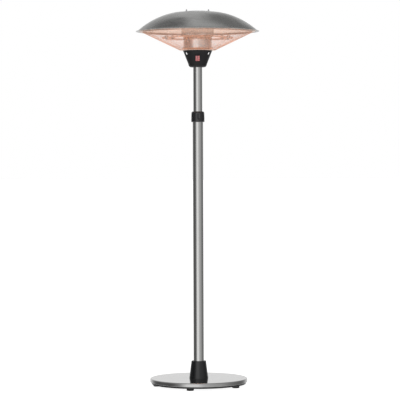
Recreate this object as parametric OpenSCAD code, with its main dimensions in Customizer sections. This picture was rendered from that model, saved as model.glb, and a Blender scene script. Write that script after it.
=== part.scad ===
// Free-standing electric patio heater: a weighted round base, a telescopic pole with a twist-lock collar,
// a switch hub, and a domed head with two ring lamps behind a conical mesh guard.
// +Z is up, the origin is on the floor under the pole, and the switches face -Y.

/* [Base] */
// Outer diameter of the base cover
base_d = 475; // [460:5:540]
// Height of the base cover's top face above the floor
base_h = 38; // [36:1:44]
// Height of the rubber feet
foot_h = 11; // [10:1:14]
// Diameter of the rubber feet
foot_d = 35; // [26:1:38]
// Number of rubber feet
foot_count = 5; // [4:1:8]
// Diameter of the circle that the feet stand on
foot_circle_d = 410; // [340:5:410]
// Turn of the first foot from straight ahead, in degrees
foot_turn = -11.5; // [-36:0.5:36]
// Height of the conical boot round the pole's foot
boot_h = 84; // [80:1:110]
// Diameter of the boot at the base cover
boot_bottom_d = 92.5; // [86:0.5:100]
// Diameter of the boot at its top
boot_top_d = 71.5; // [66:0.5:76]

/* [Pole] */
// Outer diameter of the lower pole
lower_pole_d = 51; // [50:0.5:51]
// Length of the lower pole
lower_pole_l = 1257; // [1100:1:1300]
// Outer diameter of the upper pole
upper_pole_d = 44; // [43:0.5:44]
// Length of the upper pole
upper_pole_l = 696; // [600:1:720]
// Wall thickness of both poles
pole_wall = 1.2; // [1:0.1:1.2]
// Stretch of upper pole that shows between the collar and the hub
pole_shown = 214; // [120:1:260]
// Height of the twist-lock collar
collar_h = 52; // [50:1:60]
// Largest diameter of the twist-lock collar
collar_d = 65; // [64:0.5:70]
// Number of thumb scallops round the collar
scallop_count = 6; // [4:1:8]

/* [Head] */
// Height of the black hub
hub_h = 81; // [79:1:90]
// Largest diameter of the hub
hub_d = 142; // [140:1:148]
// Outer diameter of the dome's flange
dome_d = 600; // [580:5:640]
// Diameter of the dome where its curve meets the flange
dome_skirt_d = 570; // [560:5:575]
// Radius of the dome's curved section
dome_curve_r = 366; // [360:1:400]
// Height of the dome from its flange to its flat top
dome_rise = 92; // [90:1:96]
// Diameter of the reflector drum in the middle of the head
drum_d = 140; // [136:1:144]
// Ring diameter of the outer lamp
outer_lamp_d = 344; // [330:1:350]
// Ring diameter of the inner lamp
inner_lamp_d = 276; // [260:1:284]
// Diameter of the lamps' quartz tube
lamp_tube_d = 13; // [10:0.5:14]

/* [Hidden] */
$fn = 96;

stainless = "silver";
polished = "gainsboro";
black_plastic = [0.09, 0.09, 0.1];
rubber = [0.05, 0.05, 0.05];
zinc = [0.7, 0.7, 0.72];
white_ceramic = "ivory";

// Clearances: a running fit, and a loose hole round a screw.
running = 0.05;
loose = 0.3;
bleed = 1;

// Screws: the radius of their shanks, and of the holes that they pass with room to spare.
screw_r = 2.5;
screw_hole_r = screw_r + loose;

// Base levels and radii.
base_r = base_d / 2;
recess_h = 4;
sheet = 1;
skirt_z = 20;
plate_t = 2;
plate_r = base_r - 7;
ballast_top = base_h - sheet - 0.2;
bolt_r = 3;
bolt_across = 10;
bolt_circle_r = 32;
bolt_count = 4;
flange_t = 4;
socket_r = 40;
socket_top = base_h + 77;
pole_z = base_h + flange_t;
pole_screw_z = base_h + 60;
gland_z = base_h + 19;
gland_r = 6.8;
gland_wall_y = (boot_bottom_d - (boot_bottom_d - boot_top_d) * (gland_z - base_h) / (boot_h - 1.5)) / 2;
cable_r = 3.5;
cable_hole_r = 6;
boot_wall = 2.5;

// Pole levels and radii.
lower_r = lower_pole_d / 2;
lower_bore_r = lower_r - pole_wall;
upper_r = upper_pole_d / 2;
upper_bore_r = upper_r - pole_wall;
lower_top = pole_z + lower_pole_l;
collar_z = lower_top - 14;
collar_top = collar_z + collar_h;
sleeve_r = lower_r + 1.6;
hub_z = collar_top + pole_shown;
upper_top = hub_z + 39;
upper_z = upper_top - upper_pole_l;
guide_flange = 8;
bush_flange = 3;

// Hub levels and radii. The hub's wall leans out by hub_lean degrees from hub_knee up.
hub_wall = 2.5;
hub_top = hub_z + hub_h;
hub_r = hub_d / 2;
hub_knee_r = 45.5;
hub_knee = hub_z + 16;
hub_brow = hub_top - 4;
hub_lean = atan((hub_r - 1.5 - hub_knee_r) / (hub_brow - hub_knee));
hub_screw_r = 2;
socket_flange_z = hub_z + 4;
socket_flange_t = 3;
socket_barrel_r = upper_r + 3.5;
neck_screw_z = hub_z + 31;
block_z = hub_z + 49;
block_h = 14;
box_r = 47;
box_wall = 2;
box_z = hub_z + 23;
lid_t = 2;
lid_z = hub_top - lid_t;
lid_screw_r = 1.7;
wiring_hole_r = 30;
window_w = 12.4;
window_h = 14;
window_z = hub_top - 13.5;
window_angles = [34, 146, 214, 326];
switch_z = hub_z + 42;
switch_r = hub_knee_r + (switch_z - hub_knee) * tan(hub_lean);
pad_rise = 1.5;
bezel_t = 2;
pivot_rise = 0.6;
rocker_lean = 8;
rocker_w = 9.2;
rocker_half = 12.6;
rocker_x = 5.1;
axle_r = 1.2;

// Head levels and radii.
dish_t = 1.2;
dish_r = 87;
plate_hole_r = 34;
dish_z = hub_top + dish_t;
plates_top = dish_z + 1.3;
flange_z = hub_top + 95;
skirt_top = flange_z + 5.6;
dome_flat_z = flange_z + dome_rise;
crown_r = 45;
dome_ease = 1.5;
dome_t = 0.8;
dome_apex = skirt_top + dome_curve_r - sqrt(pow(dome_curve_r, 2) - pow(dome_skirt_d / 2 - crown_r, 2));
guard_slope = 0.479;
guard_t = 0.6;
guard_top_r = 268;
guard_z = dish_z + 0.8;
guard_top = guard_z + (guard_top_r - dish_r + 1) * guard_slope;
ring_z = guard_top + 2.4;
drum_r = drum_d / 2;
drum_foot = hub_top + 15;
drum_step = hub_top + 71;
drum_top = hub_top + 127;
rib_count = 48;
rib_r = drum_r + 8;
liner_r = 270;
liner_curve_r = 992;
rivet_ring_r = liner_r + 5;
rivet_r = 1.6;
rod_x = 53.5;
rod_r = 2.5;
cap_r = 57;
cap_t = 3;
lamp_z = hub_top + 62;
lamp_r = lamp_tube_d / 2;
tube_wall = 1.2;
filament_r = 2.4;
lamp_cap_r = 8.5;
cap_l = 22;
lead_r = 1.6;
outer_lead_x = 9;
inner_lead_x = 20;
outer_cap_angle = 10;
inner_cap_angle = 16;
spoke_z = lamp_z - 14;
spoke_angles = [90, 210, 330];

// The supply cable's route from the gland to the bottom of its slack coil, and the coil itself.
inlet_route = [[0, gland_wall_y - 9.1, gland_z], [0, 24, gland_z], [0, 16, gland_z + 1],
    [0, 9, gland_z + 5], [0, 4, gland_z + 11], [0, 1, gland_z + 19], [0, 0, gland_z + 28],
    [0, 0, gland_z + 60], [0, 0, 140]];
coil_z = 140;
coil_top = upper_z - 40;
coil_turns = 10;
coil_r = 12;
coil_steps = 9;
coil_lead = 8;

// ---------------------------------------------------------------- helpers

function reversed(points) = [for (i = [len(points) - 1:-1:0]) points[i]];

function unit(v) = v / norm(v);

// Points of an arc about [x, z], from angle a to angle b.
function arc(x, z, r, a, b, steps = 8) =
    [for (i = [0:steps]) let (t = a + (b - a) * i / steps) [x + r * cos(t), z + r * sin(t)]];

// The points of a path moved to its right by t, by the mean of the directions before and after each point.
function beside(path, t) = [for (i = [0:len(path) - 1])
    let (before = unit(path[max(i, 1)] - path[max(i, 1) - 1]),
         after = unit(path[min(i + 1, len(path) - 1)] - path[min(i, len(path) - 2)]),
         mean = unit(before + after))
    path[i] + t / max(0.5, mean * after) * [mean.y, -mean.x]];

// Sheet metal of thickness t spun to a path of [radius, height], with its wall to the path's right.
module spun(path, t = sheet) {
    inside = [for (p = beside(path, t)) [max(0, p.x), p.y]];
    rotate_extrude() polygon(concat(path, reversed(inside)));
}

// A tube or, with no bore, a disc.
module tube(r, bore, h, z = 0) {
    translate([0, 0, z]) difference() {
        cylinder(r = r, h = h);
        if (bore > 0) translate([0, 0, -bleed]) cylinder(r = bore, h = h + 2 * bleed);
    }
}

// A straight round rod from p to q.
module rod(p, q, r) {
    v = q - p;
    translate(p) rotate([0, acos(v.z / norm(v)), atan2(v.y, v.x)]) cylinder(r = r, h = norm(v), $fn = 32);
}

// A path with its corners cut off, the given number of times, so that it bends softly.
function softened(points, times = 2) = times == 0 ? points : softened(concat([points[0]],
    [for (i = [0:len(points) - 2]) let (p = points[i], q = points[i + 1])
        each [(3 * p + q) / 4, (p + 3 * q) / 4]],
    [points[len(points) - 1]]), times - 1);

// A rectangle with rounded corners, centred.
module rounded(w, h, r) {
    square([w - 2 * r, h], center = true);
    square([w, h - 2 * r], center = true);
    for (x = [-1, 1], y = [-1, 1]) translate([x * (w / 2 - r), y * (h / 2 - r)]) circle(r = r, $fn = 32);
}

module around(count, r, turn = 0) {
    for (i = [0:count - 1]) rotate([0, 0, turn + 360 * i / count]) translate([r, 0, 0]) children();
}

module hexagon(across, h) {
    cylinder(r = across / sqrt(3), h = h, $fn = 6);
}

// A tube of radius r swept along points, as one closed polyhedron. The path never runs along across.
module swept(points, r, across = [1, 0, 0], sides = 8) {
    last = len(points) - 1;
    rings = [for (i = [0:last])
        let (along = unit(points[min(i + 1, last)] - points[max(i - 1, 0)]),
             side = unit(cross(along, across)),
             up = cross(side, along))
        for (k = [0:sides - 1]) points[i] + r * (cos(360 * k / sides) * side + sin(360 * k / sides) * up)];
    walls = [for (i = [0:last - 1], k = [0:sides - 1])
        let (a = i * sides + k, b = i * sides + (k + 1) % sides)
        each [[a, b, b + sides], [a, b + sides, a + sides]]];
    ends = [[for (k = [sides - 1:-1:0]) k], [for (k = [0:sides - 1]) last * sides + k]];
    polyhedron(rings, concat(walls, ends), convexity = 10);
}

// ---------------------------------------------------------------- base

module foot_places() {
    around(foot_count, foot_circle_d / 2, foot_turn - 90) children();
}

module rubber_feet() {
    foot_r = foot_d / 2;
    bevel = 2;
    recess_r = 5.5;
    color(rubber) foot_places() difference() {
        rotate_extrude()
            polygon([[0, 0], [foot_r - bevel, 0], [foot_r, bevel], [foot_r, foot_h], [0, foot_h]]);
        translate([0, 0, -bleed]) cylinder(r = recess_r, h = recess_h + bleed);
        cylinder(r = screw_hole_r, h = foot_h + bleed);
    }
}

module foot_screws() {
    head_r = 5;
    head_h = 2.5;
    shank_l = 19;
    color(zinc) foot_places() {
        translate([0, 0, recess_h - head_h]) cylinder(r = head_r, h = head_h);
        translate([0, 0, recess_h]) cylinder(r = screw_r, h = shank_l);
    }
}

// The holes that the socket's bolts pass through.
module bolt_holes(z, h) {
    bolt_places() translate([0, 0, z]) cylinder(r = bolt_r + loose, h = h);
}

// The holes that the feet's screws and the socket's bolts pass through.
module base_holes(z, h) {
    foot_places() translate([0, 0, z]) cylinder(r = screw_hole_r, h = h);
    bolt_holes(z, h);
}

module bolt_places() {
    around(bolt_count, bolt_circle_r, 45) children();
}

module bottom_plate() {
    rim = skirt_z + 5;
    inner_r = plate_r - sheet;
    color(black_plastic) difference() {
        rotate_extrude() polygon([[0, foot_h], [inner_r, foot_h], [plate_r, foot_h + sheet], [plate_r, rim],
            [inner_r, rim], [inner_r, foot_h + plate_t], [0, foot_h + plate_t]]);
        base_holes(foot_h - bleed, plate_t + 2 * bleed);
    }
}

module ballast() {
    color("dimgray") difference() {
        tube(plate_r - 2 * sheet, 0, ballast_top - foot_h - plate_t, foot_h + plate_t);
        base_holes(foot_h, base_h);
    }
}

module base_cover() {
    edge_r = 5;
    hem_r = 1.5;
    hem_w = 5;
    path = concat([[0, base_h]], arc(base_r - edge_r, base_h - edge_r, edge_r, 90, 0),
        arc(base_r - hem_r, skirt_z + hem_r, hem_r, 0, -90, 4), [[base_r - hem_w, skirt_z]]);
    color(stainless) difference() {
        spun(path);
        bolt_holes(ballast_top, base_h);
    }
}

module pole_socket() {
    stub_r = lower_bore_r - loose;
    stub_wall = 3;
    color(zinc) difference() {
        union() {
            tube(socket_r, 0, flange_t, base_h);
            tube(stub_r, 0, socket_top - pole_z, pole_z);
        }
        translate([0, 0, pole_z]) cylinder(r = stub_r - stub_wall, h = socket_top);
        bolt_holes(base_h - bleed, flange_t + 2 * bleed);
        pole_cross_holes();
        translate([0, 0, gland_z]) rotate([-90, 0, 0]) cylinder(r = cable_hole_r, h = base_r);
    }
}

// Screw holes across the pole's foot, on both sides.
module pole_cross_holes() {
    translate([-base_r, 0, pole_screw_z]) rotate([0, 90, 0]) cylinder(r = screw_hole_r, h = base_d);
}

module socket_bolts() {
    head_h = 4;
    shank_z = foot_h - 6;
    color(zinc) bolt_places() {
        translate([0, 0, pole_z]) hexagon(bolt_across, head_h);
        translate([0, 0, shank_z]) cylinder(r = bolt_r, h = pole_z - shank_z);
    }
}

module socket_nuts() {
    nut_h = 5;
    color(zinc) bolt_places() translate([0, 0, foot_h - nut_h]) difference() {
        hexagon(bolt_across, nut_h);
        translate([0, 0, -bleed]) cylinder(r = bolt_r + running, h = nut_h + 2 * bleed);
    }
}

module pole_screws() {
    head_r = 4.5;
    head_h = 2.5;
    reach = 6;
    color(zinc) for (side = [0, 180]) rotate([0, 0, side]) {
        rod([lower_r, 0, pole_screw_z], [lower_r + head_h, 0, pole_screw_z], head_r);
        rod([lower_bore_r - reach, 0, pole_screw_z], [lower_r, 0, pole_screw_z], screw_r);
    }
}

module pole_boot() {
    bottom_r = boot_bottom_d / 2;
    top_r = boot_top_d / 2;
    top_z = base_h + boot_h;
    edge_r = 1.5;
    neck_r = lower_r + loose;
    color(black_plastic) difference() {
        rotate_extrude() polygon(concat([[bottom_r - boot_wall, base_h], [bottom_r, base_h]],
            arc(top_r - edge_r, top_z - edge_r, edge_r, 6, 90, 4),
            [[neck_r, top_z], [neck_r, top_z - 3], [top_r - boot_wall, top_z - 3]]));
        translate([0, 0, gland_z]) rotate([-90, 0, 0]) cylinder(r = gland_r + 0.2, h = base_r);
    }
}

// A gland in the back of the boot's wall, with its nut inside the wall and its nose outside.
module cable_gland() {
    bore_r = cable_r + 0.25;
    nut_r = 9;
    nut_y = [gland_wall_y - 8.6, gland_wall_y - 4.7];
    nose_r = [10, 8.5, 6];
    nose_y = [for (step = [1.3, 3.5, 5, 10.5]) gland_wall_y + step];
    color(black_plastic) translate([0, 0, gland_z]) rotate([-90, 0, 0]) rotate_extrude()
        polygon([[bore_r, nut_y[0]], [nut_r, nut_y[0]], [nut_r, nut_y[1]], [gland_r, nut_y[1]],
            [gland_r, nose_y[0]], [nose_r[0], nose_y[0]], [nose_r[0], nose_y[1]], [nose_r[1], nose_y[2]],
            [nose_r[2], nose_y[3]], [bore_r, nose_y[3]]]);
}

// ---------------------------------------------------------------- pole

module lower_pole() {
    color(stainless) difference() {
        tube(lower_r, lower_bore_r, lower_pole_l, pole_z);
        pole_cross_holes();
        translate([0, 0, gland_z]) rotate([-90, 0, 0]) cylinder(r = cable_hole_r, h = base_r);
    }
}

module top_bush() {
    plug_h = 40;
    color("whitesmoke") {
        tube(lower_bore_r - running, upper_r + running, plug_h, lower_top - plug_h);
        tube(lower_r, upper_r + running, bush_flange, lower_top);
    }
}

// A sleeve round the lower pole's top, with a round-nosed thread of separate rings.
module collar_sleeve() {
    low = collar_z + 2;
    high = collar_z + 37;
    thread_z = collar_z + 12;
    pitch = 3;
    rings = 6;
    crest = 0.8;
    inner = lower_r + running;
    thread = [for (i = [0:rings - 1]) let (z = thread_z + i * pitch)
        each [[sleeve_r, z + pitch / 4], [sleeve_r + crest, z + pitch / 2], [sleeve_r, z + 3 * pitch / 4]]];
    outline = concat([[inner, low], [sleeve_r, low]], thread, [[sleeve_r, high], [inner, high]]);
    color(black_plastic) rotate_extrude() polygon(outline);
}

// A split ring that the collar squeezes onto the upper pole.
module collet() {
    z = lower_top + bush_flange;
    collet_h = 25;
    taper_h = 8;
    taper = 1.4;
    slot_w = 3;
    inner = upper_r + running;
    outer = lower_r - running;
    color("whitesmoke") difference() {
        rotate_extrude() polygon([[inner, z], [outer, z], [outer, z + collet_h - taper_h],
            [lower_r - taper, z + collet_h], [inner, z + collet_h]]);
        translate([0, -slot_w / 2, z - bleed]) cube([lower_r + bleed, slot_w, collet_h + 2 * bleed]);
    }
}

// A shell round the sleeve, the collet and the poles, with tall thumb scallops.
module lock_collar() {
    r = collar_d / 2;
    foot_r = 3.5;
    brow_r = 9;
    brow_z = collar_top - brow_r;
    waist_z = collar_z + 26;
    bore_r = sleeve_r + 1.2;
    mouth_r = upper_r + 0.5;
    scallop_r = 14;
    scallop_depth = 3;
    scallop_low = collar_z + 20;
    scallop_high = collar_z + 37;
    color(black_plastic) difference() {
        rotate_extrude() polygon(concat([[bore_r, collar_z], [r - foot_r, collar_z]],
            arc(r - foot_r, collar_z + foot_r, foot_r, -75, 0, 6), [[r - 0.5, waist_z]],
            arc(r - brow_r - 1, brow_z, brow_r, 6, 90, 8),
            [[mouth_r, collar_top], [mouth_r, collar_top - 8], [bore_r, collar_top - 12]]));
        around(scallop_count, r + scallop_r - scallop_depth, -82) rotate_extrude()
            polygon(concat(arc(0, scallop_low, scallop_r, -90, 0), arc(0, scallop_high, scallop_r, 0, 90)));
    }
}

module pole_guide() {
    bore = 17.5;
    plug_h = 25;
    color("whitesmoke") {
        tube(lower_bore_r - running, bore, guide_flange, upper_z - guide_flange);
        tube(upper_bore_r - running, bore, plug_h, upper_z);
    }
}

module upper_pole() {
    color(stainless) difference() {
        tube(upper_r, upper_bore_r, upper_pole_l, upper_z);
        neck_cross_holes();
    }
}

// Screw holes across the pole's top, on both sides.
module neck_cross_holes() {
    translate([-hub_r, 0, neck_screw_z]) rotate([0, 90, 0]) cylinder(r = screw_hole_r, h = hub_d);
}

// ---------------------------------------------------------------- supply cable inside the pole

module cable_inlet() {
    color("black") swept(inlet_route, cable_r);
}

// The slack that lets the pole extend: a loose helix that starts and ends upright on the pole's axis.
module cable_coil() {
    steps = coil_turns * coil_steps;
    low = coil_z + coil_lead;
    helix = [for (i = [0:steps])
        let (t = i / steps, ease = min(1, 6 * t, 6 * (1 - t)), a = 360 * coil_turns * t)
        [coil_r * ease * cos(a), coil_r * ease * sin(a), low + (coil_top - coil_lead - low) * t]];
    color("black") swept(concat([[0, 0, coil_z]], helix, [[0, 0, coil_top]]), cable_r);
}

module cable_riser() {
    color("black") translate([0, 0, coil_top]) cylinder(r = cable_r, h = block_z - coil_top);
}

// ---------------------------------------------------------------- hub

// The hub's outer outline, from the pole to the rim.
hub_outline = concat([[upper_r + 0.6, hub_z], [31, hub_z]], arc(31, hub_z + 13, 13, -75, -14, 5),
    [[hub_knee_r, hub_knee], [hub_r - 1.5, hub_brow], [hub_r, hub_brow + 2], [hub_r, hub_top]]);

// Places its children on the hub's sloping front face, with +Z outwards and +Y up the slope.
module at_switch() {
    translate([0, -switch_r, switch_z]) rotate([90 + hub_lean, 0, 0]) children();
}

module hub_housing() {
    pad_depth = 9;
    pad = [31, 37];
    opening = [22, 28];
    inner = [for (p = hub_outline) [max(upper_r + 0.6, p.x - hub_wall), max(socket_flange_z, p.y)]];
    color(black_plastic) difference() {
        union() {
            rotate_extrude() polygon(concat(hub_outline, reversed(inner)));
            intersection() {
                at_switch() translate([0, 0, -pad_depth]) linear_extrude(pad_depth + pad_rise)
                    rounded(pad[0], pad[1], 4);
                difference() {
                    tube(hub_r + pad_depth, 0, hub_h, hub_z);
                    translate([0, 0, hub_z]) cylinder(r1 = 36, r2 = hub_r - 2, h = hub_h);
                }
            }
        }
        at_switch() translate([0, 0, -20]) linear_extrude(30) rounded(opening[0], opening[1], 1);
        for (a = window_angles) rotate([0, 0, a]) translate([hub_r - 20, 0, window_z]) rotate([0, 90, 0])
            linear_extrude(30) rounded(window_h, window_w, 4);
    }
}

// The steel socket on the upper pole's top: a flange under the housing, and a ring under the wiring box.
module hub_socket() {
    flange_r = 36;
    ring_r = 29;
    ring_h = 4;
    barrel_h = 41;
    color(zinc) difference() {
        union() {
            tube(flange_r, 0, socket_flange_t, socket_flange_z);
            tube(socket_barrel_r, 0, barrel_h, socket_flange_z);
            tube(ring_r, 0, ring_h, box_z - ring_h);
        }
        translate([0, 0, hub_z]) cylinder(r = upper_r + running, h = hub_h);
        hub_screw_places() translate([0, 0, hub_z]) cylinder(r = hub_screw_r + loose, h = 20);
        neck_cross_holes();
    }
}

module hub_screw_places() {
    around(4, 30, 45) children();
}

module hub_screws() {
    head_r = 3.5;
    head_h = 2.5;
    color(zinc) hub_screw_places() {
        translate([0, 0, socket_flange_z + socket_flange_t]) cylinder(r = head_r, h = head_h);
        translate([0, 0, socket_flange_z]) cylinder(r = hub_screw_r, h = socket_flange_t);
    }
}

module neck_screws() {
    z = neck_screw_z;
    head_r = 4.2;
    head_h = 2.5;
    reach = 4;
    color(zinc) for (side = [0, 180]) rotate([0, 0, side]) {
        rod([socket_barrel_r, 0, z], [socket_barrel_r + head_h, 0, z], head_r);
        rod([upper_r - reach, 0, z], [socket_barrel_r, 0, z], screw_r);
    }
}

module lid_screw_places() {
    around(4, 41, 45) children();
}

// The box inside the hub, with a waist for the switch and four bosses for the lid's screws.
module wiring_box() {
    mouth_r = 26;
    floor_r = 38;
    shoulder = box_z + 23;
    boss_r = 4;
    boss_h = 16;
    screw_depth = 13;
    opening = [26, 32];
    color(black_plastic) difference() {
        union() {
            rotate_extrude() polygon([[mouth_r, box_z], [floor_r, box_z], [box_r, shoulder], [box_r, lid_z],
                [box_r - box_wall, lid_z], [box_r - box_wall, shoulder + 0.5],
                [floor_r - 1, box_z + box_wall], [mouth_r, box_z + box_wall]]);
            lid_screw_places() translate([0, 0, lid_z - boss_h]) cylinder(r = boss_r, h = boss_h);
        }
        lid_screw_places() translate([0, 0, lid_z - screw_depth]) cylinder(r = lid_screw_r + running, h = 20);
        at_switch() translate([0, 0, -25]) linear_extrude(40) rounded(opening[0], opening[1], 1);
    }
}

module lid_screws() {
    head_r = 3.5;
    head_h = 2.5;
    depth = 12;
    color(zinc) lid_screw_places() {
        translate([0, 0, plates_top]) cylinder(r = head_r, h = head_h);
        translate([0, 0, lid_z - depth]) cylinder(r = lid_screw_r, h = plates_top - lid_z + depth);
    }
}

// Holes for the tie rods, the lid screws and the wiring, through the plates over the hub.
module plate_holes() {
    reach = hub_h + 40;
    translate([0, 0, hub_z]) {
        rod_places() cylinder(r = rod_r + running, h = reach);
        lid_screw_places() cylinder(r = lid_screw_r + loose, h = reach);
        cylinder(r = wiring_hole_r, h = reach);
    }
}

module rod_places() {
    for (x = [-rod_x, rod_x]) translate([x, 0, 0]) children();
}

module hub_lid() {
    color(zinc) difference() {
        tube(hub_r - 6, 0, lid_t, lid_z);
        plate_holes();
    }
}

module switch_housing() {
    body = [21.6, 27.6];
    bezel = [26, 32];
    depth = 18;
    cavity_floor = pivot_rise - 7.5;
    groove_l = 20.6;
    color(black_plastic) at_switch() difference() {
        union() {
            translate([0, 0, -depth]) linear_extrude(depth + pad_rise) rounded(body[0], body[1], 1);
            translate([0, 0, pad_rise]) linear_extrude(bezel_t) rounded(bezel[0], bezel[1], 2.5);
        }
        for (x = [-rocker_x, rocker_x]) translate([x, 0, cavity_floor])
            linear_extrude(20) square([rocker_w + 0.2, 2 * rocker_half + 1.2], center = true);
        translate([-groove_l / 2, 0, pivot_rise]) rotate([0, 90, 0])
            cylinder(r = axle_r + running, h = groove_l, $fn = 24);
    }
}

// A rocker whose upper half is pressed in.
module rocker(x) {
    side = [[-rocker_half, 3.6], [-8, 2.5], [-4, 1.9], [0, 1.7], [4, 1.9], [8, 2.5], [rocker_half, 3.6],
        [rocker_half, -0.5], [5, -5.5], [-5, -5.5], [-rocker_half, -0.5]];
    color("crimson") at_switch() translate([x, 0, pivot_rise]) {
        rotate([-rocker_lean, 0, 0]) translate([-rocker_w / 2, 0, 0]) rotate([90, 0, 90])
            linear_extrude(rocker_w) polygon(side);
        translate([-rocker_w / 2 - 0.3, 0, 0]) rotate([0, 90, 0])
            cylinder(r = axle_r, h = rocker_w + 0.6, $fn = 24);
    }
}

module rocker_left() { rocker(-rocker_x); }

module rocker_right() { rocker(rocker_x); }

// The block that joins the cable to the harness, hung from the hub's lid by two posts and a cross rod.
module terminal_block() {
    size = [34, 16, block_h];
    post_x = 12;
    post_r = 2.5;
    hanger_x = 35.5;
    hanger_z = lid_z - 3;
    hanger_r = 1.5;
    color("ivory") {
        translate([-size.x / 2, -size.y / 2, block_z]) cube(size);
        for (x = [-post_x, post_x]) translate([x, 0, block_z + block_h])
            cylinder(r = post_r, h = lid_z - block_z - block_h);
        rod([-hanger_x, 0, hanger_z], [hanger_x, 0, hanger_z], hanger_r);
    }
}

module tilt_switch() {
    can_r = 8;
    can_h = 18;
    color("dimgray") translate([-26, 16, lid_z - can_h]) cylinder(r = can_r, h = can_h);
}

// Four sleeved wires from the terminal block up through the hub's lid to the back wall of the drum.
module wiring_harness() {
    start_z = block_z + block_h;
    start_y = 3;
    wall = drum_r - sheet - 0.8;
    color("maroon") for (side = [-1, 1]) {
        swept(softened([[side * 7, start_y, start_z], [side * 7, start_y, lamp_z],
            [side * outer_lead_x, wall * cos(8), lamp_z]]), lead_r, sides = 12);
        swept(softened([[side * 15, start_y, start_z], [side * 17, start_y, lamp_z],
            [side * inner_lead_x, wall * cos(17.5), lamp_z]]), lead_r, sides = 12);
    }
}

module thermal_cutout() {
    can_r = 8;
    can_l = 9.5;
    can_z = lamp_z - 24;
    wall = drum_r - sheet - 0.5;
    color(zinc) rod([0, wall - can_l, can_z], [0, wall, can_z], can_r);
}

// ---------------------------------------------------------------- head

module guard_dish() {
    path = [[plate_hole_r, dish_z], [dish_r - 1.5, dish_z], [dish_r, dish_z + 0.6]];
    color(polished) difference() {
        spun(path, dish_t);
        plate_holes();
    }
}

// The conical guard, as the skin that its woven wire fills.
module mesh_guard() {
    color("darkgray") spun([[dish_r - 1, guard_z], [guard_top_r, guard_top]], guard_t);
}

module guard_top_ring() {
    path = [[guard_top_r - 3, guard_top + 1.2], [guard_top_r + 2, ring_z], [dome_skirt_d / 2 - 5, ring_z]];
    color(stainless) difference() {
        spun(path);
        rivet_holes(ring_z - 5, 10);
    }
}

module rivet_places() {
    around(6, rivet_ring_r, 30) children();
}

module rivet_holes(z, h) {
    rivet_places() translate([0, 0, z]) cylinder(r = rivet_r + running, h = h, $fn = 24);
}

module guard_rivets() {
    head_r = 3.2;
    head_h = 1.2;
    shank_l = 3;
    color(zinc) rivet_places() {
        translate([0, 0, ring_z - sheet - head_h]) cylinder(r = head_r, h = head_h, $fn = 24);
        translate([0, 0, ring_z - sheet]) cylinder(r = rivet_r, h = shank_l, $fn = 24);
    }
}

// The pan that carries the drum: flat on the dish, then flared up to the drum's foot.
module drum_base() {
    pan_r = 60;
    rim_r = drum_r + 3;
    path = [[plate_hole_r, plates_top], [pan_r, plates_top], [rim_r, drum_foot - 3], [rim_r, drum_foot]];
    color(polished) difference() {
        spun(path, dish_t);
        plate_holes();
    }
}

module drum_lower() {
    color(polished) {
        tube(drum_r + 3, drum_r - sheet, sheet, drum_foot);
        tube(drum_r, drum_r - sheet, drum_step - drum_foot - sheet, drum_foot + sheet);
    }
}

// The ribbed drum that stands over the polished one.
module drum_upper() {
    rib_depth = 2.4;
    wall = 1.2;
    ribs = [for (i = [0:2 * rib_count - 1]) let (a = 180 * i / rib_count, r = rib_r - (i % 2) * rib_depth)
        [r * cos(a), r * sin(a)]];
    color(polished) {
        translate([0, 0, drum_step + sheet]) linear_extrude(drum_top - drum_step - sheet) difference() {
            polygon(ribs);
            circle(r = rib_r - rib_depth - wall, $fn = 360);
        }
        tube(rib_r - 3, drum_r - 6, wall, drum_step);
    }
}

// Three flat spokes from the drum. The two at the front carry clips round the lamps' tubes, and the one at
// the back carries a cross bar under each lamp with a post for each ceramic cap.
module lamp_brackets() {
    spoke_w = 10;
    spoke_t = 1.5;
    clip_r = lamp_r + 2;
    clip_gap = 0.25;
    clip_angle = 3;
    stem_r = 2.5;
    post_r = 3.5;
    color(zinc) {
        for (a = spoke_angles) rotate([0, 0, a]) translate([drum_r, -spoke_w / 2, spoke_z])
            cube([outer_lamp_d / 2 + 4 - drum_r, spoke_w, spoke_t]);
        for (a = [210, 330], ring_r = [outer_lamp_d, inner_lamp_d] / 2) {
            rotate([0, 0, a - clip_angle / 2]) rotate_extrude(angle = clip_angle)
                translate([ring_r, lamp_z]) difference() {
                    circle(r = clip_r, $fn = 48);
                    circle(r = lamp_r + clip_gap, $fn = 48);
                }
            rotate([0, 0, a]) translate([ring_r, 0, spoke_z + spoke_t])
                cylinder(r = stem_r, h = lamp_z - clip_r - spoke_z - spoke_t + 0.5);
        }
        for (lamp = [[outer_lamp_d / 2, outer_cap_angle], [inner_lamp_d / 2, inner_cap_angle]]) {
            for (side = [-1, 1]) rotate([0, 0, 90 + side * lamp[1]]) translate([lamp[0], 0, spoke_z])
                cylinder(r = post_r, h = lamp_z - lamp_cap_r - spoke_z);
            translate([0, lamp[0] * cos(lamp[1]), spoke_z + spoke_t / 2])
                cube([2 * lamp[0] * sin(lamp[1]) + 2 * post_r, 2 * post_r, spoke_t], center = true);
        }
    }
}

// A quartz ring of diameter d that leaves gap degrees open on each side of the back.
module lamp_tube(d, gap) {
    color([0.85, 0.6, 0.5, 0.5]) rotate([0, 0, 90 + gap]) rotate_extrude(angle = 360 - 2 * gap)
        translate([d / 2, lamp_z]) difference() {
            circle(r = lamp_r, $fn = 48);
            circle(r = lamp_r - tube_wall, $fn = 48);
        }
}

module lamp_filament(d, gap) {
    color("orangered") rotate([0, 0, 90 + gap]) rotate_extrude(angle = 360 - 2 * gap)
        translate([d / 2, lamp_z]) circle(r = filament_r, $fn = 32);
}

module lamp_tube_outer() { lamp_tube(outer_lamp_d, 12); }

module lamp_tube_inner() { lamp_tube(inner_lamp_d, 18); }

module filament_outer() { lamp_filament(outer_lamp_d, 12.5); }

module filament_inner() { lamp_filament(inner_lamp_d, 18.6); }

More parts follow.
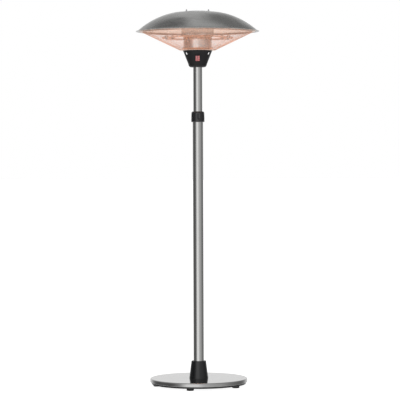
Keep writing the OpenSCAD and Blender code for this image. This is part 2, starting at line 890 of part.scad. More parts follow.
// A straight ceramic end cap at the given angle from the back, with a seat for the end of the quartz tube.
module lamp_cap(d, at) {
    rotate([0, 0, 90 + at]) translate([d / 2, 0, lamp_z]) rotate([-90, 0, 0]) difference() {
        translate([0, 0, -cap_l / 2]) cylinder(r = lamp_cap_r, h = cap_l);
        cylinder(r = lamp_r + 0.6, h = cap_l);
    }
}

module lamp_caps() {
    color(white_ceramic) for (side = [0, 1]) mirror([side, 0, 0]) {
        lamp_cap(outer_lamp_d, outer_cap_angle);
        lamp_cap(inner_lamp_d, inner_cap_angle);
    }
}

// A point on the axis of a lamp's end cap, beyond the middle of the cap towards the back of the ring.
function beyond_cap(ring_r, at, distance) =
    [ring_r * sin(at) - distance * cos(at), ring_r * cos(at) + distance * sin(at), lamp_z];

// A lead from the end of a lamp's cap, round a soft bend and straight in to the drum's wall at x.
module lamp_lead(ring_r, at, x, inset, wall_y) {
    swept(softened([beyond_cap(ring_r, at, cap_l / 2), beyond_cap(ring_r, at, cap_l / 2 + 6),
        [x, ring_r - inset, lamp_z], [x, wall_y, lamp_z]]), lead_r, across = [0, 0, 1], sides = 12);
}

module lamp_leads() {
    color("maroon") for (side = [0, 1]) mirror([side, 0, 0]) {
        lamp_lead(outer_lamp_d / 2, outer_cap_angle, outer_lead_x, 8, drum_r + 0.2);
        lamp_lead(inner_lamp_d / 2, inner_cap_angle, inner_lead_x, 12, drum_r * cos(14.5));
    }
}

// The polished reflector over the lamps, with a lip that the dome rests on.
module dome_liner() {
    inner_r = rib_r + 1.5;
    centre_z = drum_top + 0.2 - sqrt(pow(liner_curve_r, 2) - pow(inner_r, 2));
    seat = ring_z + 1.1;
    path = concat(
        arc(0, centre_z, liner_curve_r, acos(inner_r / liner_curve_r), acos(liner_r / liner_curve_r), 12),
        [[liner_r + 10, seat], [liner_r + 11.5, skirt_top + 1.5]]);
    color(polished) difference() {
        spun(path, -dome_t);
        rivet_holes(ring_z - 5, 20);
    }
}

// Height of the dome's outside at radius r: its curved section, eased into the flat top.
function dome_height(r) =
    let (curve = dome_apex - dome_curve_r + sqrt(pow(dome_curve_r, 2) - pow(max(0, r - crown_r), 2)))
    dome_flat_z - dome_ease * ln(1 + exp((dome_flat_z - curve) / dome_ease));

// The dome's crown is sampled where the flat top eases into the curve, and its side closely at the skirt.
module dome() {
    skirt_r = dome_skirt_d / 2;
    crown_end = 112;
    side_steps = 24;
    crown = [for (r = [0, 50, 65, 75, 82, 88, 94, 100, 106, crown_end]) [r, dome_height(r)]];
    side = [for (i = [1:side_steps]) let (r = crown_end + (skirt_r - crown_end) * sin(90 * i / side_steps))
        [r, dome_height(r)]];
    flange = [[skirt_r + 1.5, skirt_top - 1.2], [skirt_r + 4, flange_z + 1.4], [dome_d / 2 - 3, flange_z],
        [dome_d / 2 - 0.6, flange_z - 0.8], [dome_d / 2, flange_z - 2.2]];
    color(stainless) difference() {
        spun(concat(crown, side, flange), dome_t);
        rod_places() translate([0, 0, flange_z]) cylinder(r = rod_r + running, h = dome_rise + 10);
    }
}

module top_cap() {
    color(stainless) difference() {
        rotate_extrude() polygon([[0, dome_flat_z], [cap_r, dome_flat_z], [cap_r, dome_flat_z + cap_t - 1],
            [cap_r - 1, dome_flat_z + cap_t], [0, dome_flat_z + cap_t]]);
        rod_places() translate([0, 0, flange_z]) cylinder(r = rod_r + running, h = dome_rise + 10);
    }
}

module tie_rods() {
    stub = 10;
    color(zinc) rod_places() rod([0, 0, lid_z], [0, 0, dome_flat_z + cap_t + stub], rod_r);
}

module rod_nuts() {
    nut_across = 8;
    nut_h = 4;
    color(zinc) rod_places() for (z = [plates_top, dome_flat_z + cap_t]) translate([0, 0, z]) difference() {
        hexagon(nut_across, nut_h);
        translate([0, 0, -bleed]) cylinder(r = rod_r + running, h = nut_h + 2 * bleed);
    }
}

// ---------------------------------------------------------------- nodes

rubber_feet();
foot_screws();
bottom_plate();
ballast();
base_cover();
pole_socket();
socket_bolts();
socket_nuts();
pole_screws();
pole_boot();
cable_gland();
lower_pole();
top_bush();
collar_sleeve();
collet();
lock_collar();
pole_guide();
upper_pole();
cable_inlet();
cable_coil();
cable_riser();
hub_housing();
hub_socket();
hub_screws();
neck_screws();
wiring_box();
hub_lid();
lid_screws();
switch_housing();
rocker_left();
rocker_right();
terminal_block();
tilt_switch();
wiring_harness();
thermal_cutout();
guard_dish();
mesh_guard();
guard_top_ring();
guard_rivets();
drum_base();
drum_lower();
drum_upper();
lamp_brackets();
lamp_tube_outer();
lamp_tube_inner();
filament_outer();
filament_inner();
lamp_caps();
lamp_leads();
dome_liner();
dome();
top_cap();
tie_rods();
rod_nuts();
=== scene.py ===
"""Visual model of the outdoor heater: the CAD frame with its materials, a woven-wire guard, coiled lamp
filaments and a slack supply cable, on a pale studio floor, seen from the front (-Y)."""
import math

import bpy
import numpy as np
from mathutils import Matrix, Vector


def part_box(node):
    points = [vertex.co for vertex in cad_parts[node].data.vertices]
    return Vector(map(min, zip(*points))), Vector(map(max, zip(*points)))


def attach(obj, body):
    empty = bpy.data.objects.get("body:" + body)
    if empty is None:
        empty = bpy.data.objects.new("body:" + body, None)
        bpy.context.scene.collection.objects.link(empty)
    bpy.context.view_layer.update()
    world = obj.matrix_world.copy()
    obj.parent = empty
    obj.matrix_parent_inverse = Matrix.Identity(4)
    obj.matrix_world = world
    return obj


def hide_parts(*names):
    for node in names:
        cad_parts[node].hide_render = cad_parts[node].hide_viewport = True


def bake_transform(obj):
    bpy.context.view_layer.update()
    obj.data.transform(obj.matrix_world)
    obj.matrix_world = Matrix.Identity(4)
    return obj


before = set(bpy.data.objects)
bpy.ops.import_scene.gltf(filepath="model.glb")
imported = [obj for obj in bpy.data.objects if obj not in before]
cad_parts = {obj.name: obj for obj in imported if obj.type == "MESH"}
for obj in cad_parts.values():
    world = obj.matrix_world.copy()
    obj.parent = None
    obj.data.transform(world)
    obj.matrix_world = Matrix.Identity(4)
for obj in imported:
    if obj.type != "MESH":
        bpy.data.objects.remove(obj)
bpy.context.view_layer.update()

scene = bpy.context.scene
MM = 0.001
TAU = 2 * math.pi


# ---------------------------------------------------------------- camera

CAMERA_DISTANCE = 9.6
CAMERA_HEIGHT = 1.165
AIM = Vector((0.0090, 0, 0.9058))
LENS = 177.525
ROLL = math.radians(0.21)

camera = bpy.data.objects.new("camera", bpy.data.cameras.new("camera"))
scene.collection.objects.link(camera)
camera.data.lens = LENS
camera.data.sensor_width = 36
camera.data.clip_end = 200
camera.location = (AIM.x, -CAMERA_DISTANCE, CAMERA_HEIGHT)
looking = (AIM - camera.location).to_track_quat("-Z", "Y").to_matrix().to_4x4()
camera.matrix_world = Matrix.Translation(camera.location) @ looking @ Matrix.Rotation(-ROLL, 4, "Z")
scene.camera = camera
scene.view_settings.view_transform = "Standard"
scene.view_settings.look = "None"


# ---------------------------------------------------------------- materials

def add_node(tree, kind, inputs=None, **settings):
    """A new shader node. An input is linked where its value is a socket, and set otherwise."""
    node = tree.nodes.new(kind)
    for key, value in settings.items():
        setattr(node, key, value)
    for key, value in (inputs or {}).items():
        if isinstance(value, bpy.types.NodeSocket):
            tree.links.new(value, node.inputs[key])
        else:
            node.inputs[key].default_value = value
    return node


class Look:
    """A procedural material: a Principled shader, and short calls that add nodes in front of it."""

    def __init__(self, name, colour, roughness, metallic=0.0, **sockets):
        self.mat = bpy.data.materials.new(name)
        self.mat.use_nodes = True
        self.tree = self.mat.node_tree
        self.links = self.tree.links
        self.shader = self.tree.nodes["Principled BSDF"]
        self.normal = None
        self.put("Base Color", (*colour, 1))
        self.put("Roughness", roughness)
        self.put("Metallic", metallic)
        for socket, value in sockets.items():
            self.put(socket.replace("_", " "), value)
        self.place = self.add("ShaderNodeTexCoord").outputs["Object"]

    def put(self, socket, value):
        if isinstance(value, bpy.types.NodeSocket):
            self.links.new(value, self.shader.inputs[socket])
        else:
            self.shader.inputs[socket].default_value = value

    def add(self, kind, inputs=None, **settings):
        return add_node(self.tree, kind, inputs, **settings)

    def scaled(self, stretch):
        return self.add("ShaderNodeMapping", {"Vector": self.place, "Scale": stretch}).outputs["Vector"]

    def noise(self, scale, detail=4.0, roughness=0.55, stretch=(1, 1, 1), distortion=0.0, place=None):
        return self.add("ShaderNodeTexNoise", {
            "Vector": place or self.scaled(stretch), "Scale": scale, "Detail": detail, "Roughness": roughness,
            "Distortion": distortion}).outputs["Fac"]

    def cells(self, scale, feature="F1", randomness=1.0):
        return self.add("ShaderNodeTexVoronoi", {
            "Vector": self.scaled((1, 1, 1)), "Scale": scale, "Randomness": randomness},
            feature=feature).outputs["Distance"]

    def range(self, value, low, high, to_low=0.0, to_high=1.0):
        return self.add("ShaderNodeMapRange", {
            "Value": value, "From Min": low, "From Max": high, "To Min": to_low,
            "To Max": to_high}).outputs["Result"]

    def math(self, operation, a, b=0.0):
        return self.add("ShaderNodeMath", {0: a, 1: b}, operation=operation).outputs[0]

    def mix(self, share, a, b):
        node = self.add("ShaderNodeMix", data_type="RGBA")
        for socket, value in ((0, share), (6, a), (7, b)):
            if isinstance(value, bpy.types.NodeSocket):
                self.links.new(value, node.inputs[socket])
            else:
                node.inputs[socket].default_value = value if socket == 0 else (*value, 1)
        return node.outputs[2]

    def bump(self, height, strength, distance):
        inputs = {"Height": height, "Strength": strength, "Distance": distance}
        if self.normal is not None:
            inputs["Normal"] = self.normal
        self.normal = self.add("ShaderNodeBump", inputs).outputs["Normal"]
        self.put("Normal", self.normal)

    def radius(self):
        """Distance from the pole's axis."""
        parts = self.add("ShaderNodeSeparateXYZ", {"Vector": self.place}).outputs
        return self.math("SQRT", self.math("ADD", self.math("MULTIPLY", parts[0], parts[0]),
                                           self.math("MULTIPLY", parts[1], parts[1])))

    def tangent(self):
        node = self.add("ShaderNodeTangent", direction_type="RADIAL", axis="Z")
        self.put("Tangent", node.outputs["Tangent"])


LAMP_WALL = 0.02
LAMP_COIL = 0.25


def shade(colour, k):
    return tuple(c * k for c in colour)


def tube_steel(name, colour):
    """Drawn and linished stainless tube: fine streaks along it, with faint handling marks."""
    m = Look(name, colour, 0.24, 1.0, Anisotropic=0.45)
    m.tangent()
    streaks = m.noise(1.0, 3, 0.6, stretch=(900, 900, 6))
    marks = m.noise(9.0, 5, 0.6, stretch=(1, 1, 0.35))
    tone = m.mix(m.range(streaks, 0.3, 0.7), shade(colour, 0.93), shade(colour, 1.04))
    m.put("Base Color", m.mix(m.range(marks, 0.52, 0.75, 0, 0.35), tone, shade(colour, 0.86)))
    m.put("Roughness", m.math("ADD", m.range(streaks, 0.25, 0.75, 0.12, 0.18),
                              m.range(marks, 0.4, 0.8, 0, 0.07)))
    m.bump(streaks, 0.06, 0.0002)
    return m.mat


def spun_steel(name, colour, rough=(0.24, 0.36), waves=0.5, ring=0.12):
    """Spun stainless sheet: fine rings from the spinning tool over slow waves in the metal."""
    m = Look(name, colour, 0.3, 1.0, Anisotropic=0.4)
    m.tangent()
    r = m.radius()
    along = m.add("ShaderNodeCombineXYZ", {0: m.math("MULTIPLY", r, 520.0)}).outputs[0]
    rings = m.noise(1.0, 4, 0.65, place=along)
    slow = m.noise(7.0, 2, 0.45, distortion=0.4)
    smear = m.noise(16.0, 6, 0.65, stretch=(1, 1, 2.5), distortion=0.7)
    tone = m.mix(m.range(rings, 0.3, 0.7), shade(colour, 0.94), shade(colour, 1.05))
    m.put("Base Color", m.mix(m.range(smear, 0.45, 0.75, 0, 0.5), tone, shade(colour, 0.84)))
    m.put("Roughness", m.math("ADD", m.range(smear, 0.3, 0.75, *rough), m.range(rings, 0.3, 0.7, 0, 0.05)))
    m.bump(slow, waves, 0.012)
    m.bump(rings, ring, 0.0003)
    return m.mat


def polished_steel(name, colour, rough=(0.1, 0.2), waves=0.25, metallic=1.0):
    """Bright-rolled reflector sheet, a little dulled and browned by heat."""
    m = Look(name, colour, 0.15, metallic)
    slow = m.noise(11.0, 3, 0.5)
    film = m.noise(38.0, 6, 0.6, distortion=0.6)
    grain = m.noise(1.0, 2, 0.5, stretch=(700, 700, 700))
    browned = (colour[0] * 0.92, colour[1] * 0.82, colour[2] * 0.72)
    m.put("Base Color", m.mix(m.range(film, 0.4, 0.75, 0, 0.6), colour, browned))
    m.put("Roughness", m.range(film, 0.3, 0.75, *rough))
    m.bump(slow, waves, 0.006)
    m.bump(grain, 0.03, 0.0001)
    return m.mat


def moulded_plastic(name, colour, rough=(0.36, 0.5), grain=620.0, depth=0.18, sheen=0.5):
    """Spark-textured moulded plastic: a pebbled skin, faint scuffs, and a greyer bloom where it is rubbed."""
    m = Look(name, colour, 0.42, 0.0, Specular_IOR_Level=sheen)
    pebble = m.cells(grain, feature="SMOOTH_F1")
    fine = m.noise(grain * 1.7, 3, 0.6)
    bloom = m.noise(14.0, 5, 0.62, distortion=0.5)
    scuff = m.noise(60.0, 4, 0.7, stretch=(1, 1, 5))
    tone = m.mix(m.range(bloom, 0.4, 0.75), colour, shade(colour, 1.55))
    m.put("Base Color", m.mix(m.range(scuff, 0.66, 0.8, 0, 0.5), tone, shade(colour, 2.6)))
    m.put("Roughness", m.math("ADD", m.range(bloom, 0.3, 0.75, *rough),
                              m.range(fine, 0.3, 0.7, -0.04, 0.04)))
    m.bump(pebble, depth, 0.0003)
    m.bump(fine, depth * 0.6, 0.0001)
    return m.mat


def plated(name, colour, rough=(0.26, 0.46), metallic=1.0):
    """Zinc-plated hardware: crystalline spangle, dull in patches."""
    m = Look(name, colour, 0.35, metallic)
    spangle = m.cells(260.0)
    dull = m.noise(90.0, 5, 0.6)
    m.put("Base Color", m.mix(m.range(spangle, 0.0, 0.8), shade(colour, 1.05), shade(colour, 0.82)))
    m.put("Roughness", m.range(dull, 0.3, 0.7, *rough))
    m.bump(dull, 0.12, 0.0002)
    return m.mat


def rubber(name, colour):
    m = Look(name, colour, 0.75, 0.0, Specular_IOR_Level=0.3)
    dust = m.noise(55.0, 6, 0.7)
    skin = m.noise(900.0, 3, 0.6)
    m.put("Base Color", m.mix(m.range(dust, 0.5, 0.8, 0, 0.7), colour, (0.09, 0.085, 0.08)))
    m.put("Roughness", m.range(dust, 0.3, 0.7, 0.62, 0.85))
    m.bump(skin, 0.25, 0.0002)
    return m.mat


def nylon(name, colour):
    m = Look(name, colour, 0.4, 0.0, Subsurface_Weight=0.15, Subsurface_Scale=0.004)
    tool = m.noise(1.0, 3, 0.5, stretch=(30, 30, 900))
    stain = m.noise(45.0, 4, 0.6)
    m.put("Base Color", m.mix(m.range(stain, 0.45, 0.75, 0, 0.5), colour, shade(colour, 0.8)))
    m.put("Roughness", m.range(tool, 0.3, 0.7, 0.32, 0.5))
    m.bump(tool, 0.1, 0.0002)
    return m.mat


def cement(name, colour):
    m = Look(name, colour, 0.9)
    sand = m.cells(420.0)
    patch = m.noise(24.0, 7, 0.65)
    m.put("Base Color", m.mix(m.range(patch, 0.3, 0.7), shade(colour, 0.75), shade(colour, 1.15)))
    m.put("Roughness", m.range(patch, 0.3, 0.7, 0.82, 0.96))
    m.bump(sand, 0.5, 0.0008)
    return m.mat


def painted(name, colour):
    m = Look(name, colour, 0.45, 0.0, Coat_Weight=0.25)
    peel = m.noise(260.0, 3, 0.5)
    dust = m.noise(18.0, 6, 0.65)
    m.put("Base Color", m.mix(m.range(dust, 0.45, 0.8, 0, 0.5), colour, shade(colour, 2.2)))
    m.put("Roughness", m.range(dust, 0.3, 0.75, 0.36, 0.58))
    m.bump(peel, 0.2, 0.0003)
    return m.mat


def ceramic(name, colour):
    m = Look(name, colour, 0.55, 0.0, Subsurface_Weight=0.1, Subsurface_Scale=0.003)
    body = m.noise(160.0, 6, 0.6)
    soot = m.noise(30.0, 5, 0.6)
    m.put("Base Color", m.mix(m.range(soot, 0.5, 0.75, 0, 0.6), colour, (0.62, 0.5, 0.38)))
    m.put("Roughness", m.range(body, 0.3, 0.7, 0.46, 0.66))
    m.bump(body, 0.2, 0.0002)
    return m.mat


def sleeved(name, colour):
    """Braided glass-fibre sleeve on the lamp leads."""
    m = Look(name, colour, 0.7, 0.0, Sheen_Weight=0.3)
    braid = m.cells(1100.0, randomness=0.15)
    fuzz = m.noise(400.0, 4, 0.6)
    m.put("Base Color", m.mix(m.range(braid, 0.0, 0.6), shade(colour, 1.3), shade(colour, 0.6)))
    m.put("Roughness", m.range(fuzz, 0.3, 0.7, 0.6, 0.85))
    m.bump(braid, 0.4, 0.0003)
    return m.mat


def lit_switch(name, colour):
    """Translucent red rocker with a neon behind it."""
    m = Look(name, colour, 0.16, 0.0, Subsurface_Weight=0.35, Subsurface_Scale=0.004, Coat_Weight=0.3)
    cloud = m.noise(260.0, 4, 0.6)
    scratch = m.noise(1.0, 3, 0.7, stretch=(900, 900, 90))
    paler = (colour[0], colour[1] * 1.8, colour[2] * 1.7)
    tone = m.mix(m.range(cloud, 0.35, 0.7), shade(colour, 0.85), paler)
    m.put("Base Color", tone)
    m.put("Emission Color", m.mix(m.range(cloud, 0.35, 0.7), (0.8, 0.3, 0.32), (0.9, 0.42, 0.44)))
    m.put("Emission Strength", 0.06)
    m.put("Roughness", m.range(scratch, 0.3, 0.7, 0.12, 0.24))
    m.bump(scratch, 0.05, 0.0001)
    return m.mat


def quartz(name):
    """Ruby-tinted quartz: mostly clear, with a sheen at its edges and the coil's glow in its wall."""
    m = Look(name, (1.0, 0.62, 0.42), 0.08, 0.0, IOR=1.45)
    haze = m.noise(120.0, 4, 0.6)
    m.put("Roughness", m.range(haze, 0.3, 0.7, 0.05, 0.14))
    m.put("Alpha", m.range(haze, 0.3, 0.7, 0.03, 0.07))
    m.put("Emission Color", m.mix(m.range(haze, 0.3, 0.7), (1.0, 0.6, 0.4), (1.0, 0.7, 0.5)))
    m.put("Emission Strength", LAMP_WALL)
    m.mat.surface_render_method = "BLENDED"
    return m.mat


def glowing(name):
    """Coiled filament at working heat: orange white, a little cooler in random patches."""
    m = Look(name, (0.2, 0.08, 0.05), 0.6)
    heat = m.noise(20.0, 2, 0.5)
    m.put("Emission Color", m.mix(m.range(heat, 0.3, 0.7), (1.0, 0.66, 0.5), (1.0, 0.78, 0.62)))
    m.put("Emission Strength", LAMP_COIL)
    return m.mat


STEEL = (0.70, 0.70, 0.69)
looks = {
    "pole": tube_steel("stainless_tube", STEEL),
    "base": spun_steel("stainless_base", (0.59, 0.59, 0.585), rough=(0.05, 0.1), waves=0.02, ring=0.03),
    "dome": spun_steel("stainless_dome", (0.60, 0.60, 0.59), rough=(0.2, 0.3), waves=0.4, ring=0.12),
    # The trim's peach colour is painted glow: it stands in for the lamps' warm light on the stainless ring.
    "trim": spun_steel("stainless_trim", (0.86, 0.68, 0.58), rough=(0.2, 0.32), waves=0.1),
    # The reflector's copper-pink colour is painted reflection: it stands in for the lamps' warm glow mirrored
    # in the bright steel. The browned film over it is heat tint.
    "reflector": polished_steel("bright_reflector", (0.94, 0.76, 0.65), rough=(0.24, 0.36), metallic=0.7),
    "drum": polished_steel("bright_drum", (0.88, 0.86, 0.84), rough=(0.08, 0.16), waves=0.12),
    "ribs": polished_steel("bright_ribs", (0.84, 0.80, 0.77), rough=(0.12, 0.2), waves=0.12),
    # The guard wire's copper-pink colour is painted glow: it stands in for the lamps' warm light falling on
    # the steel wires.
    "wire": plated("guard_wire", (0.80, 0.54, 0.43), rough=(0.3, 0.45), metallic=0.5),
    "zinc": plated("zinc_plate", (0.7, 0.7, 0.71)),
    "hub": moulded_plastic("hub_plastic", (0.006, 0.006, 0.0065), sheen=0.3),
    "boot": moulded_plastic("boot_plastic", (0.006, 0.0065, 0.008), rough=(0.2, 0.3), depth=0.1,
                            sheen=0.75),
    "collar": moulded_plastic("collar_plastic", (0.007, 0.0075, 0.009), rough=(0.18, 0.28), grain=480.0,
                              depth=0.08, sheen=0.8),
    "inner": moulded_plastic("inner_plastic", (0.02, 0.02, 0.02), rough=(0.5, 0.65)),
    "rubber": rubber("foot_rubber", (0.014, 0.014, 0.014)),
    "cable": rubber("cable_rubber", (0.012, 0.012, 0.013)),
    "nylon": nylon("bush_nylon", (0.82, 0.81, 0.76)),
    "cement": cement("ballast_cement", (0.4, 0.39, 0.37)),
    "paint": painted("black_paint", (0.012, 0.012, 0.013)),
    "ceramic": ceramic("lamp_ceramic", (0.86, 0.83, 0.76)),
    "sleeve": sleeved("lead_sleeve", (0.33, 0.05, 0.04)),
    "switch": lit_switch("switch_red", (0.46, 0.10, 0.11)),
    "quartz": quartz("lamp_quartz"),
    "glow": glowing("lamp_filament"),
}

wears = {
    "pole": ["lower_pole", "upper_pole"],
    "base": ["base_cover"],
    "dome": ["dome", "top_cap"],
    "trim": ["guard_top_ring"],
    "reflector": ["dome_liner", "guard_dish"],
    "drum": ["drum_base", "drum_lower"],
    "ribs": ["drum_upper"],
    "wire": ["mesh_guard"],
    "zinc": ["foot_screws", "pole_socket", "socket_bolts", "socket_nuts", "pole_screws", "hub_socket",
             "hub_screws", "neck_screws", "hub_lid", "lid_screws", "thermal_cutout", "guard_rivets",
             "lamp_brackets", "tie_rods", "rod_nuts"],
    "hub": ["hub_housing", "switch_housing"],
    "boot": ["pole_boot", "cable_gland"],
    "collar": ["lock_collar", "collar_sleeve"],
    "inner": ["wiring_box", "tilt_switch"],
    "rubber": ["rubber_feet"],
    "cable": ["cable_inlet", "cable_coil", "cable_riser"],
    "nylon": ["top_bush", "collet", "pole_guide"],
    "cement": ["ballast"],
    "paint": ["bottom_plate"],
    "ceramic": ["terminal_block", "lamp_caps"],
    "sleeve": ["wiring_harness", "lamp_leads"],
    "switch": ["rocker_left", "rocker_right"],
    "quartz": ["lamp_tube_outer", "lamp_tube_inner"],
    "glow": ["filament_outer", "filament_inner"],
}
for look, names in wears.items():
    for name in names:
        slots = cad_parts[name].data.materials
        slots.clear()
        slots.append(looks[look])


# ---------------------------------------------------------------- mesh helpers

def piece(name, points, faces, body, look, slot, *stands_for):
    """A smooth mesh object that rides on a body and stands for CAD nodes."""
    mesh = bpy.data.meshes.new(name)
    mesh.from_pydata(np.asarray(points).tolist(), [], np.asarray(faces).tolist())
    mesh.polygons.foreach_set("use_smooth", [True] * len(mesh.polygons))
    mesh.materials.append(looks[look])
    mesh.update()
    obj = bpy.data.objects.new(name, mesh)
    scene.collection.objects.link(obj)
    if body:
        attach(obj, body)
    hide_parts(*stands_for)
    return obj


def tubes(paths, side, up, radius, sides, closed):
    """Points and faces of round wires. paths, side and up are (wire, point, 3) arrays: the centres and the
    two directions that span each wire's section."""
    wires, steps = paths.shape[:2]
    turn = TAU * (np.arange(sides) + 0.5) / sides
    points = (paths[:, :, None] + radius * (np.cos(turn)[:, None] * side[:, :, None] +
                                            np.sin(turn)[:, None] * up[:, :, None]))
    spans = steps if closed else steps - 1
    w, i, k = np.meshgrid(np.arange(wires), np.arange(spans), np.arange(sides), indexing="ij")

    def at(i, k):
        return ((w * steps + i % steps) * sides + k % sides).ravel()

    faces = np.stack([at(i, k), at(i, k + 1), at(i + 1, k + 1), at(i + 1, k)], axis=1)
    return points.reshape(-1, 3), faces


def unit(v):
    return v / np.linalg.norm(v, axis=-1, keepdims=True)


def swept(path, radius, sides):
    """Points and faces of one open tube along a path in space."""
    ahead = np.roll(path, -1, 0) - np.roll(path, 1, 0)
    ahead[0], ahead[-1] = path[1] - path[0], path[-1] - path[-2]
    ahead = unit(ahead)
    side = unit(np.cross(ahead, [0.02, 0.01, 1.0]))
    up = np.cross(side, ahead)
    return tubes(path[None], side[None], up[None], radius, sides, False)


# ---------------------------------------------------------------- woven guard

WIRE_R = 0.31 * MM
RADIALS = 168
RING_PITCH = 7.0 * MM
HEM_R = 1.1 * MM


def guard_wires():
    low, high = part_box("mesh_guard")
    r0, r1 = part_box("guard_dish")[1].x - 1 * MM, high.x
    z0, z1 = low.z + 0.3 * MM, high.z - 0.3 * MM
    slant = math.hypot(r1 - r0, z1 - z0)
    out, rise = (r1 - r0) / slant, (z1 - z0) / slant
    rings = int(slant / RING_PITCH)
    crimp = 0.95 * WIRE_R

    def on_cone(angle, along, lift):
        """Points at an angle and a distance up the slant, lifted off the cone, and the cone's normal,
        slant and hoop directions there."""
        angle, along, lift = np.broadcast_arrays(angle, along, lift)
        c, s, zero, one = np.cos(angle), np.sin(angle), np.zeros_like(angle), np.ones_like(angle)
        outward = np.stack([c, s, zero], -1)
        up = np.stack([zero, zero, one], -1)
        normal = rise * outward - out * up
        slope = out * outward + rise * up
        hoop = np.stack([-s, c, zero], -1)
        r = r0 + along * out
        z = z0 + along * rise
        centre = r[..., None] * outward + z[..., None] * up + lift[..., None] * normal
        return centre, normal, slope, hoop

    ring = np.arange(rings + 1)[:, None]
    step = np.arange(2 * RADIALS)[None]
    weave = np.where(step % 2 == 0, np.where((step // 2 + ring) % 2 == 0, 1.0, -1.0), 0.0) * crimp
    centre, normal, slope, hoop = on_cone(TAU * step / (2 * RADIALS), ring * slant / rings, weave)
    points, faces = tubes(centre, normal, slope, WIRE_R, 4, True)
    piece("guard_hoop_wires", points, faces, "head", "wire", "guard_mesh", "mesh_guard")

    radial = np.arange(RADIALS)[:, None]
    step = np.arange(2 * rings + 1)[None]
    weave = np.where(step % 2 == 0, np.where((step // 2 + radial) % 2 == 0, -1.0, 1.0), 0.0) * crimp
    centre, normal, slope, hoop = on_cone(TAU * radial / RADIALS, step * slant / (2 * rings), weave)
    points, faces = tubes(centre, normal, hoop, WIRE_R, 4, False)
    piece("guard_radial_wires", points, faces, "head", "wire", "guard_mesh", "mesh_guard")

    for name, along in (("guard_hem_low", 0.4 * MM), ("guard_hem_high", slant - 0.6 * MM)):
        angle = TAU * np.arange(240)[None] / 240
        centre, normal, slope, hoop = on_cone(angle, along, 0.0)
        points, faces = tubes(centre, normal, slope, HEM_R, 10, True)
        piece(name, points, faces, "head", "wire", "guard_mesh", "mesh_guard")


guard_wires()


# ---------------------------------------------------------------- lamp filaments

FILAMENT_WIRE_R = 0.45 * MM
FILAMENT_PITCH = 2.6 * MM


def filament(name, node):
    """A coiled coil along the lamp's ring, between its ceramic ends."""
    low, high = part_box(node)
    z = (low.z + high.z) / 2
    tube = (high.z - low.z) / 2
    ring = high.x - tube
    coil = tube - FILAMENT_WIRE_R
    gap = math.atan2(*[abs(v) for v in end_of(node)])
    turns = int(ring * (TAU - 2 * gap) / FILAMENT_PITCH)
    t = np.linspace(0, 1, turns * 10 + 1)
    angle = math.pi / 2 + gap + (TAU - 2 * gap) * t
    twist = TAU * turns * t
    r = ring + coil * np.cos(twist)
    path = np.stack([r * np.cos(angle), r * np.sin(angle), z + coil * np.sin(twist)], -1)
    points, faces = swept(path, FILAMENT_WIRE_R, 5)
    piece(name, points, faces, "head", "glow", "glowing_coil", node)


def end_of(node):
    """Where the filament ends, right of the back."""
    ends = [v.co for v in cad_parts[node].data.vertices if v.co.y > 0 and v.co.x > 0]
    last = min(ends, key=lambda v: math.atan2(v.x, v.y))
    return last.x, last.y


filament("lamp_coil_outer", "filament_outer")
filament("lamp_coil_inner", "filament_inner")


# ---------------------------------------------------------------- the lamps' light

GLOW_COLOUR = (1.0, 0.62, 0.48)
GLOW_R = 20 * MM
GLOW_WATTS = 0.03


def glow(name, node, count):
    """A ring of soft lights along a lamp, so that the reflector and the guard are lit evenly."""
    low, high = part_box(node)
    tube = (high.z - low.z) / 2
    ring = high.x - tube
    for i in range(count):
        angle = TAU * (i + 0.5) / count
        lamp = bpy.data.lights.new(f"{name}_{i}", "POINT")
        lamp.energy = GLOW_WATTS
        lamp.color = GLOW_COLOUR
        lamp.shadow_soft_size = GLOW_R
        obj = bpy.data.objects.new(f"{name}_{i}", lamp)
        obj.location = (ring * math.cos(angle), ring * math.sin(angle), high.z - tube)
        obj.visible_camera = False
        obj.visible_glossy = False
        scene.collection.objects.link(obj)
        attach(obj, "head")


glow("glow_outer", "filament_outer", 24)
glow("glow_inner", "filament_inner", 18)


# ---------------------------------------------------------------- slack supply cable

CABLE_R = 3.5 * MM
CABLE_COIL_R = 12 * MM
CABLE_TURNS = 10
CABLE_STEPS = 240


def slack_cable():
    """The loose coil inside the pole, drawn at rest; in the heater it stretches as the pole slides."""
    low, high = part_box("cable_coil")
    t = np.linspace(0, 1, CABLE_STEPS + 1)
    ease = np.minimum(1, np.minimum(6 * t, 6 * (1 - t)))
    angle = TAU * CABLE_TURNS * t
    r = CABLE_COIL_R * ease
    path = np.stack([r * np.cos(angle), r * np.sin(angle), low.z + (high.z - low.z) * t], -1)
    points, faces = swept(path, CABLE_R, 10)
    points[:, 2] = np.clip(points[:, 2], low.z, high.z)
    obj = piece("slack_cable", points, faces, None, "cable", "cable_black", "cable_coil")
    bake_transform(obj)


slack_cable()


# ---------------------------------------------------------------- studio

FLOOR_HALF = 60.0


def floor():
    """A pale floor with a glow of its own, so that it runs out to white. Metal doesn't mirror it."""
    mesh = bpy.data.meshes.new("floor")
    s = FLOOR_HALF
    mesh.from_pydata([(-s, -s, 0), (s, -s, 0), (s, s, 0), (-s, s, 0)], [], [(0, 1, 2, 3)])
    obj = bpy.data.objects.new("floor", mesh)
    scene.collection.objects.link(obj)
    m = Look("floor_paper", (0.86, 0.86, 0.86), 0.9)
    m.put("Base Color", m.mix(m.noise(3.0, 4), (0.85, 0.85, 0.85), (0.88, 0.88, 0.88)))
    m.put("Emission Color", (1, 1, 1, 1))
    m.put("Emission Strength", 0.9)
    mesh.materials.append(m.mat)
    obj.visible_glossy = False


floor()

# Brightness of the studio round the object, by the compass: 0 is straight ahead of the switches, + is right.
ROUND = [(-180, 0.84), (-150, 0.7), (-128, 0.2), (-89, 0.12), (-60, 0.16), (-42, 0.45), (-28, 1.0),
         (-12, 1.25), (0, 0.95), (12, 0.66), (35, 0.5), (60, 0.4), (89, 0.22), (128, 0.24), (150, 0.7),
         (180, 0.84)]
OVERHEAD = 0.36
BELOW = 0.9

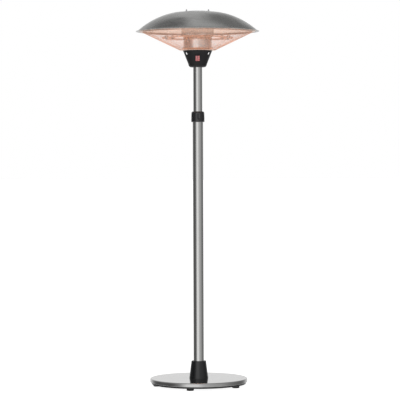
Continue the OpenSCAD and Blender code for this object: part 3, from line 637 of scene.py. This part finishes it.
# Soft panels and dark gaps over and behind the object: compass, elevation, the half-widths in degrees where
# each is full and where it ends, and its brightness.
PANELS = [(152, 58, 4, 20, 0.16), (-152, 56, 8, 22, 0.14), (170, 42, 6, 18, 0.18),
          (145, 34, 6, 22, 0.2), (150, 72, 6, 16, 0.46), (-170, 34, 3, 12, 0.45)]
# The tall soft box behind: its middle and half-widths, as the sideways part of a direction, and its
# brightness.
STRIP = (-0.03, 0.05, 0.12, 0.56)


def studio():
    world = bpy.data.worlds.new("studio")
    scene.world = world
    world.use_nodes = True
    tree = world.node_tree
    tree.nodes.clear()

    def add(kind, inputs=None, **settings):
        return add_node(tree, kind, inputs, **settings)

    def grey(value):
        return (value, value, value, 1)

    direction = add("ShaderNodeTexCoord").outputs["Generated"]
    d = add("ShaderNodeSeparateXYZ", {0: direction}).outputs
    back = add("ShaderNodeMath", {0: d[1], 1: -1.0}, operation="MULTIPLY").outputs[0]
    compass = add("ShaderNodeMath", {0: d[0], 1: back}, operation="ARCTAN2").outputs[0]
    share = add("ShaderNodeMapRange", {"Value": compass, "From Min": -math.pi,
                                       "From Max": math.pi}).outputs[0]
    ramp = add("ShaderNodeValToRGB", {0: share})
    ramp.color_ramp.interpolation = "CARDINAL"
    stops = ramp.color_ramp.elements
    while len(stops) < len(ROUND):
        stops.new(0.5)
    for stop, (degrees, value) in zip(stops, ROUND):
        stop.position = (degrees + 180) / 360
        stop.color = grey(value)
    up = add("ShaderNodeMapRange", {"Value": d[2], "From Min": 0.12, "From Max": 0.6},
             interpolation_type="SMOOTHSTEP").outputs[0]
    down = add("ShaderNodeMapRange", {"Value": d[2], "From Min": -0.35, "From Max": -0.75},
               interpolation_type="SMOOTHSTEP").outputs[0]
    mix_up = add("ShaderNodeMix", {0: up, 6: ramp.outputs[0], 7: grey(OVERHEAD)}, data_type="RGBA").outputs[2]
    for compass_at, elevation, full, end, level in PANELS:
        a, e = math.radians(compass_at), math.radians(elevation)
        toward = (math.sin(a) * math.cos(e), -math.cos(a) * math.cos(e), math.sin(e))
        facing = add("ShaderNodeVectorMath", {0: direction, 1: toward},
                     operation="DOT_PRODUCT").outputs["Value"]
        share = add("ShaderNodeMapRange", {"Value": facing, "From Min": math.cos(math.radians(end)),
                                           "From Max": math.cos(math.radians(full))},
                    interpolation_type="SMOOTHSTEP").outputs[0]
        mix_up = add("ShaderNodeMix", {0: share, 6: mix_up, 7: grey(level)}, data_type="RGBA").outputs[2]
    middle, full, end, level = STRIP
    aside = add("ShaderNodeMath", {0: d[0], 1: -middle}, operation="ADD").outputs[0]
    aside = add("ShaderNodeMath", {0: aside}, operation="ABSOLUTE").outputs[0]
    inside = add("ShaderNodeMapRange", {"Value": aside, "From Min": end, "From Max": full},
                 interpolation_type="SMOOTHSTEP").outputs[0]
    behind = add("ShaderNodeMapRange", {"Value": d[1], "From Min": 0.1, "From Max": 0.25}).outputs[0]
    high = add("ShaderNodeMapRange", {"Value": d[2], "From Min": 0.3, "From Max": 0.6}).outputs[0]
    share = add("ShaderNodeMath", {0: inside, 1: behind}, operation="MULTIPLY").outputs[0]
    share = add("ShaderNodeMath", {0: share, 1: high}, operation="MULTIPLY").outputs[0]
    mix_up = add("ShaderNodeMix", {0: share, 6: mix_up, 7: grey(level)}, data_type="RGBA").outputs[2]
    mix_down = add("ShaderNodeMix", {0: down, 6: mix_up, 7: grey(BELOW)}, data_type="RGBA").outputs[2]
    seen = add("ShaderNodeLightPath").outputs["Is Camera Ray"]
    colour = add("ShaderNodeMix", {0: seen, 6: mix_down, 7: grey(1.0)}, data_type="RGBA").outputs[2]
    background = add("ShaderNodeBackground", {"Color": colour, "Strength": 1.0})
    tree.links.new(background.outputs[0], add("ShaderNodeOutputWorld").inputs["Surface"])


studio()
